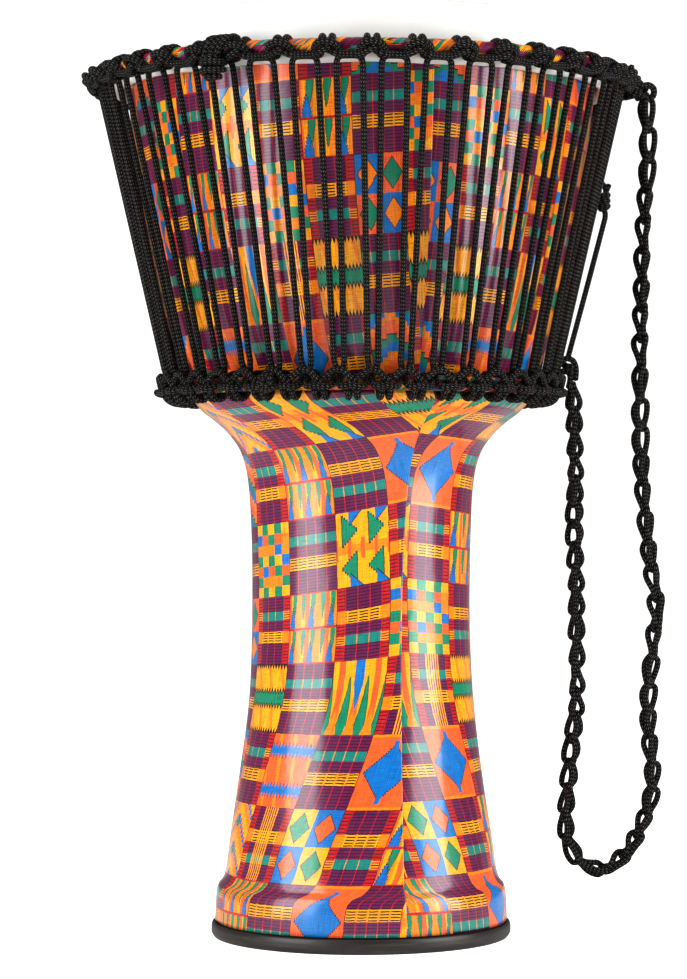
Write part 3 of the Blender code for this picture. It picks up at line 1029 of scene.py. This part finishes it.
def straightRun(start, end):
    return [tuple(a + (b - a) * share for a, b in zip(start, end)) for share in (0.06, 0.3, 0.7, 0.94)]


def makeLacing():
    points = []
    low = lacingSettings["lowerTurn"]
    high = lacingSettings["upperTurn"]
    lowerShift = lacingSettings["lowerShift"]
    topRadius, topHeight = lacingSettings["upperMiddle"]
    for index in range(drumSizes["hitches"]):
        middle = drumSizes["firstHitch"] + hitchPitch * index
        following = middle + hitchPitch
        wobble = random.uniform(-lacingSettings["wobble"], lacingSettings["wobble"])
        lowTurn = [polar(r, middle + angle + lowerShift + wobble, z) for r, angle, z in low]
        wayUp = [polar(r, middle + angle, z) for r, angle, z in high]
        wayDown = [polar(r, following - angle, z) for r, angle, z in reversed(high)]
        nextFoot = polar(low[0][0], following + low[0][1] + lowerShift, low[0][2])
        points += lowTurn
        points += straightRun(lowTurn[-1], wayUp[0])
        points += wayUp
        points.append(polar(topRadius, middle + 0.5 * hitchPitch, topHeight))
        points += wayDown
        points += straightRun(wayDown[-1], nextFoot)
    route = smoothRoute(points, lacingSettings["laceSpacing"], closed=True)
    print("tension rope", round(routeLength(route), 1), "m")
    return makeRope("tensionLacing", [route], drumSizes["ropeRadius"], blackRope, closed=True)


upperLoops = makeLoops("crownLoopRope", drumSizes["crownRing"], 0.0, lacingSettings["crownHitch"], 0.0)
lowerLoops = makeLoops("lowerLoopRope", drumSizes["lowerRing"], 0.5 * hitchPitch,
                       lacingSettings["lowerHitch"], 0.3)
lacing = makeLacing()
tailRoute = smoothRoute([polar(r, strapSide, z) for r, z in lacingSettings["tailEnd"]], 0.003)
tailRope = makeRope("tailRope", [tailRoute], 0.0019, blackRope)
print("lacing ready")

# shell
shellSettings = {
    "stem": [
        (0.1143, 0.3650), (0.1120, 0.3590), (0.1065, 0.3530), (0.0985, 0.3470), (0.0890, 0.3380),
        (0.0802, 0.3240), (0.0755, 0.3000), (0.0737, 0.2500), (0.0741, 0.1940), (0.0765, 0.1530),
        (0.0829, 0.1040), (0.0890, 0.0640), (0.0912, 0.0470), (0.0936, 0.0385), (0.0976, 0.0320),
        (0.0988, 0.0110),
    ],
    "bowl": [
        (0.1585, 0.5712), (0.1576, 0.5660), (0.1530, 0.5280), (0.1455, 0.4820), (0.1365, 0.4380),
        (0.1275, 0.4020), (0.1202, 0.3820), (0.1164, 0.3730), (0.1150, 0.3670),
    ],
    "edge": [(0.1500, 0.6083), (0.1545, 0.6069), (0.1572, 0.6030), (0.1580, 0.5980), (0.1572, 0.5750)],
    "wall": 0.005,
    "cloth": 0.0007,
    "underCloth": 0.0010,
    "outlineSpacing": 0.0035,
}
stemOutline = finerOutline(shellSettings["stem"], shellSettings["outlineSpacing"])
bowlOutline = finerOutline(shellSettings["bowl"], shellSettings["outlineSpacing"])


def makeShell():
    covered = insetOutline(bowlOutline[:-1] + stemOutline, shellSettings["underCloth"])
    edge = finerOutline(shellSettings["edge"], 0.0015)
    foot = covered[-1][0]
    outer = edge + covered + [(foot - 0.0012, 0.0100), (foot - 0.0015, 0.0040)]
    inner = [(foot - 0.0065, 0.0040), (foot - 0.0062, 0.0130), (foot - 0.0050, 0.0200)]
    inner += reversed(insetOutline([shellSettings["edge"][-1]] + covered[1:-3:2], shellSettings["wall"]))
    inner += [(0.1476, 0.5900), (0.1482, 0.6030), (0.1487, 0.6070)]
    return makeTurned("mouldedShell", outer + inner, shellMaterial, steps=144)


# where each cloth laps over its own edge
stemSeam = {"z": [0.014, 0.066, 0.165, 0.26, 0.335, 0.366], "angle": [14.9, 15.5, 17.4, 18.8, 22.6, 23.5]}
bowlSeam = {"z": [0.366, 0.566], "angle": [16.4, 15.5]}
lapSettings = {"width": 0.0040, "lift": 0.00075, "ripple": (0.00012, 0.00010)}


def makeCover(name, outline, seam, layout, steps=300):
    p = np.array(outline, float)
    rows = len(p)
    run = np.concatenate([[0.0], np.cumsum(np.linalg.norm(np.diff(p, axis=0), axis=1))])
    seamAngle = np.interp(p[:, 1], seam["z"], seam["angle"])
    overlapAngle = np.degrees(lapSettings["width"] / p[:, 0])
    share = np.linspace(0.0, 1.0, steps + 1)
    share = np.concatenate([share[:-1], np.linspace(share[-2], 1.0, 5)[1:]])     # finer at the lapped edge
    degrees = seamAngle[:, None] - 360.0 + (360.0 + overlapAngle[:, None]) * share[None, :]
    beyond = (degrees - seamAngle[:, None]) / overlapAngle[:, None]      # 0..1 on the lap
    lift = lapSettings["lift"] * smoothStep((beyond + 1.2) / 1.2)
    lift = lift * (1.0 - 0.35 * smoothStep((beyond - 0.93) / 0.07))
    angle = np.radians(degrees)
    ripple = lapSettings["ripple"][0] * np.sin(angle * 7 + p[:, 1][:, None] * 60)
    ripple += lapSettings["ripple"][1] * np.sin(angle * 17 - p[:, 1][:, None] * 35)
    radii = p[:, 0][:, None] + lift + ripple * np.clip((-beyond - 1.0) / 4.0, 0.0, 1.0)
    heights = np.repeat(p[:, 1][:, None], degrees.shape[1], axis=1)
    outer = np.stack([radii * np.sin(angle), -radii * np.cos(angle), heights], axis=2)
    inR = radii - shellSettings["cloth"]
    inner = np.stack([inR * np.sin(angle), -inR * np.cos(angle), heights], axis=2)
    columns = degrees.shape[1]
    cloth = layout(degrees, p[:, 0][:, None], p[:, 1][:, None], run[:, None])
    verts = np.concatenate([outer.reshape(-1, 3), inner.reshape(-1, 3)])
    half = rows * columns
    faces = []
    uvs = []

    def quad(a, b, c, d):
        faces.append((a, b, c, d))
        for k in (a, b, c, d):
            i, j = divmod(k % half, columns)
            uvs.append((cloth[0][i, j], cloth[1][i, j]))

    for corners in gridQuads(rows, columns):
        a, b, c, d = (i * columns + j for i, j in corners)
        quad(a, b, c, d)
        quad(half + a, half + d, half + c, half + b)
    for j in range(columns - 1):
        quad(j, j + 1, half + j + 1, half + j)
        a = (rows - 1) * columns + j
        quad(a, half + a, half + a + 1, a + 1)
    for i in range(rows - 1):
        a = i * columns
        quad(a, half + a, half + a + columns, a + columns)
        b = i * columns + columns - 1
        quad(b, b + columns, half + b + columns, half + b)
    return makeMesh(name, verts, faces, uvs, lacqueredCloth)


# how the print lies on each cloth: u counts strips round the drum, v counts rows down it
stemPrint = {
    "stripWidth": 0.0350, "rowHeight": 0.0490,
    "neck": 0.0737,
    "levelRow": 0.2384,         # height of the fourth row's top edge
    "firstStrip": 1.274,
    "gather": 0.437,            # strips taken up towards the seam
    "rise": 0.0144,             # the rows climb from the seam to the back
    "sideDrop": (0.0050, 0.0045),
}
bowlPrint = {
    "stripWidth": 0.0332, "rowHeight": 0.0499,
    "radius": 0.1556,
    "topRow": 0.561,
    "firstStrip": 0.529,
    "gather": -0.935,
    "rise": 0.012,
    "bend": 174.0,
}


def stemLayout(degrees, radius, height, run):
    back = np.radians(degrees + 180.0)       # angle from the back, negative right of the seam
    neck = stemPrint["neck"]
    levelRow = stemPrint["levelRow"]
    power = np.where(height < 0.25, 0.85, 0.43)
    u = neck * back * (radius / neck)**power / stemPrint["stripWidth"]
    gather = stemPrint["gather"] * smoothStep(np.abs(back) / 2.4) * np.sign(back)
    pinned = np.interp(levelRow, height[::-1, 0], run[::-1, 0])
    level = levelRow + pinned - run
    aboveFlare = smoothStep((height - 0.12) / 0.13)
    rise = stemPrint["rise"] * aboveFlare * (1.0 - (np.abs(back) / math.pi)**3)
    drop = np.where(back < 0.0, stemPrint["sideDrop"][0] + stemPrint["sideDrop"][1] * aboveFlare, 0.0)
    drop = drop * smoothStep(np.abs(back) / 1.6)      # one selvedge sits a little lower than the other
    v = 3.0 + (levelRow - (level + rise - drop)) / stemPrint["rowHeight"]
    return u - gather + stemPrint["firstStrip"], v


def bowlLayout(degrees, radius, height, run):
    back = np.radians(degrees + 180.0)
    bend = np.radians(bowlPrint["bend"] * (0.566 - height)**2) * back / math.pi
    u = bowlPrint["radius"] * (back - bend) / bowlPrint["stripWidth"]
    gather = bowlPrint["gather"] * smoothStep(np.abs(back) / 2.9) * np.sign(back)
    rise = bowlPrint["rise"] * (1.0 - (np.abs(back) / math.pi)**3)
    v = 2.0 + (bowlPrint["topRow"] - (height + rise)) / bowlPrint["rowHeight"]
    return u - gather + bowlPrint["firstStrip"], v


footSettings = {
    "corners": [
        (0.1003, 0.0100), (0.1012, 0.0075), (0.1012, 0.0030), (0.0994, 0.0), (0.0872, 0.0),
        (0.0872, 0.0085), (0.0909, 0.0085), (0.0909, 0.0035), (0.0981, 0.0035), (0.0981, 0.0100),
    ],
    "rounding": 0.0009,
}
skinSettings = {
    "top": 0.6100,
    "topRings": (0.0002, 0.0006, 0.0015, 0.004, 0.03, 0.06, 0.09, 0.12, 0.14),
    "shoulder": [
        (0.1480, 0.6100), (0.1510, 0.6099), (0.1562, 0.6083), (0.1593, 0.6043), (0.1603, 0.5980),
        (0.1604, 0.5900), (0.1606, 0.5790),
    ],
    "tuckRadii": (0.0051, 0.0039),         # outside and inside of the skin where it goes round the hoop
    "lip": [(0.1697, 0.5744), (0.1694, 0.5750), (0.1689, 0.5744)],
    "under": [
        (0.1592, 0.5790), (0.1591, 0.5980), (0.1583, 0.6036), (0.1556, 0.6072), (0.1510, 0.6087),
        (0.12, 0.6088), (0.06, 0.6088), (0.004, 0.6088), (0.0006, 0.6088), (0.0002, 0.6088),
    ],
}


def makeFootRim():
    profile = roundedProfile(footSettings["corners"], footSettings["rounding"])
    return makeTurned("footRim", profile, rubberMaterial, steps=180)


def arcRound(centre, radius, degrees):
    angles = [math.radians(d) for d in degrees]
    return [(centre[0] + radius * math.cos(a), centre[1] + radius * math.sin(a)) for a in angles]


def makeSkin():
    hoop = drumSizes["fleshHoop"]
    outline = [(r, skinSettings["top"]) for r in skinSettings["topRings"]]
    outline += finerOutline(skinSettings["shoulder"], 0.0018)
    outline += arcRound(hoop, skinSettings["tuckRadii"][0], range(150, 375, 15))
    outline += skinSettings["lip"]
    outline += arcRound(hoop, skinSettings["tuckRadii"][1], range(360, 179, -20))
    outline += skinSettings["under"]

    def uneven(radii, heights, angles):      # the collar is pulled at each hitch, the hem is cut by hand
        low = np.clip((0.600 - heights) / 0.03, 0.0, 1.0)
        wave = 0.00022 * np.sin(angles * drumSizes["hitches"] + 0.6) + 0.00018 * np.sin(angles * 11)
        hem = np.clip((0.572 - heights) / 0.005, 0.0, 1.0)
        return radii + wave * low, heights + 0.0004 * np.sin(angles * 13 + 1.0) * hem

    return makeTurned("drumSkin", outline, skinMaterial, steps=234, bumps=uneven)


# cloth strips wound side by side round the rings at a steep slant, each lapping its neighbour
wrapSettings = {"pitch": 0.0290, "strips": 3, "lap": 1.18, "inside": 0.0041, "uneven": 0.0002}


def makeRingWrap(name, ring, phase):
    turns = int(round(2 * math.pi * ring[0] / wrapSettings["pitch"]))
    perTurn = 22
    strips = wrapSettings["strips"]
    width = 2 * math.pi / turns / strips * wrapSettings["lap"]
    ends = 5
    count = turns * perTurn
    verts = []
    faces = []
    uvs = []
    rnd = random.Random(5)
    uneven = wrapSettings["uneven"]
    turnHeights = [rnd.uniform(-uneven, uneven) for _ in range(turns + 1)]
    clothStep = 2 * math.pi * 0.0045 / perTurn / 0.030       # rows of the print that pass in one step
    for strip in range(strips):
        base = len(verts)
        for i in range(count + 1):
            around = 2 * math.pi * (i % perTurn) / perTurn
            for j in range(ends):
                across = j / (ends - 1)
                angle = 2 * math.pi * (i / count + strip / strips / turns) + width * (across - 0.5)
                # the free edge rides on its neighbour
                swell = wrapSettings["inside"] + 0.00055 * across + 0.00040 * math.sin(math.pi * across)
                swell += turnHeights[i // perTurn]
                r = ring[0] + swell * math.cos(around)
                z = ring[1] + swell * math.sin(around)
                verts.append((r * math.sin(angle), -r * math.cos(angle), z))
        for corners in gridQuads(count + 1, ends):
            faces.append(tuple(base + i * ends + j for i, j in corners))
            turn = corners[0][0] // perTurn
            shift = phase + strip * 1.37 + 0.35 * (turn // 4)        # the print changes every four turns
            uvs += [(shift + 0.55 * j / (ends - 1), strip * 0.6 + i * clothStep) for i, j in corners]
    return makeMesh(name, verts, faces, uvs, woundCloth)


shell = makeShell()
stemCover = makeCover("stemCloth", stemOutline, stemSeam, stemLayout)
bowlCover = makeCover("bowlCloth", bowlOutline, bowlSeam, bowlLayout, steps=420)
footRim = makeFootRim()
skin = makeSkin()
crownWrap = makeRingWrap("crownRingWrap", drumSizes["crownRing"], 0.2)
lowerWrap = makeRingWrap("lowerRingWrap", drumSizes["lowerRing"], 1.4)
print("turned pieces ready")

for node in ("flesh_hoop", "crown_ring", "lower_ring"):
    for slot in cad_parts[node].material_slots:
        slot.material = steelMaterial

# bodies
pieceTable = [
    (shell, "shell", "drum", "moulded_shell"),
    (stemCover, "stem_cover", "drum", "printed_cloth"),
    (bowlCover, "bowl_cover", "drum", "printed_cloth"),
    (footRim, "foot_rim", "drum", "foot_rubber"),
    (lowerWrap, "lower_ring_wrap", "drum", "printed_cloth"),
    (lowerLoops, "lower_loop_rope", "drum", "black_rope"),
    (buttonKnot, "lower_button_knot", "drum", "black_rope"),
    (tailKnot, "tail_knot", "drum", "black_rope"),
    (tailRope, "tail_rope", "drum", "black_rope"),
    (strapLowerKnot, "strap_lower_knot", "drum", "black_rope"),
    (crownWrap, "crown_ring_wrap", "crown", "printed_cloth"),
    (upperLoops, "upper_loop_rope", "crown", "black_rope"),
    (tieOffKnot, "tie_off_knot", "crown", "black_rope"),
    (strapTopKnot, "strap_top_knot", "crown", "black_rope"),
]
for obj, node, body, slotName in pieceTable:
    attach(obj, body)
    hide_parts(node)

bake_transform(skin)
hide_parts("drumhead")
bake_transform(lacing)
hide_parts("tension_rope")
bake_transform(strap)
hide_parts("strap")

# studio
studioSettings = {
    "left": {"place": (-1.25, -0.90, 0.55), "size": (0.95, 1.7), "power": 29.0},
    "right": {"place": (1.42, -0.62, 0.55), "size": (0.85, 1.7), "power": 29.0},
    "top": {"place": (0.0, -0.2, 1.9), "size": (1.2, 1.2), "power": 7.0},
    "ambient": 0.20,
    "exposure": 0.25,
    "gamma": 0.82,
}


def addLight(name, settings):
    data = bpy.data.lights.new(name, "AREA")
    data.shape = "RECTANGLE"
    data.size, data.size_y = settings["size"]
    data.energy = settings["power"]
    obj = bpy.data.objects.new(name, data)
    obj.location = settings["place"]
    aim = Vector((0.0, 0.0, 0.32)) - obj.location
    obj.rotation_euler = aim.to_track_quat("-Z", "Y").to_euler()
    bpy.context.scene.collection.objects.link(obj)


for side in ("left", "right", "top"):
    addLight("Softbox " + side, studioSettings[side])

world = bpy.data.worlds.new("Studio")
world.use_nodes = True
bpy.context.scene.world = world
Wire.tree = world.node_tree
seen = world.node_tree.nodes.new("ShaderNodeLightPath")
backdrop = world.node_tree.nodes["Background"]
dimGrey = (studioSettings["ambient"],) * 3
plug(backdrop.inputs["Color"], mixColor(Wire(seen.outputs["Is Camera Ray"]), dimGrey, (1.0, 1.0, 1.0)))
backdrop.inputs["Strength"].default_value = 1.0

floorMesh = bpy.data.meshes.new("Floor")
floorMesh.from_pydata([(-6, -6, 0), (6, -6, 0), (6, 8, 0), (-6, 8, 0)], [], [(0, 1, 2, 3)])
floorMesh.materials.append(makeFloorMaterial())
floor = bpy.data.objects.new("Floor", floorMesh)
floor.location = (0.0, 0.0, -0.0002)
bpy.context.scene.collection.objects.link(floor)
viewSettings = bpy.context.scene.view_settings
viewSettings.view_transform = "Standard"
viewSettings.exposure = studioSettings["exposure"]
viewSettings.gamma = studioSettings["gamma"]
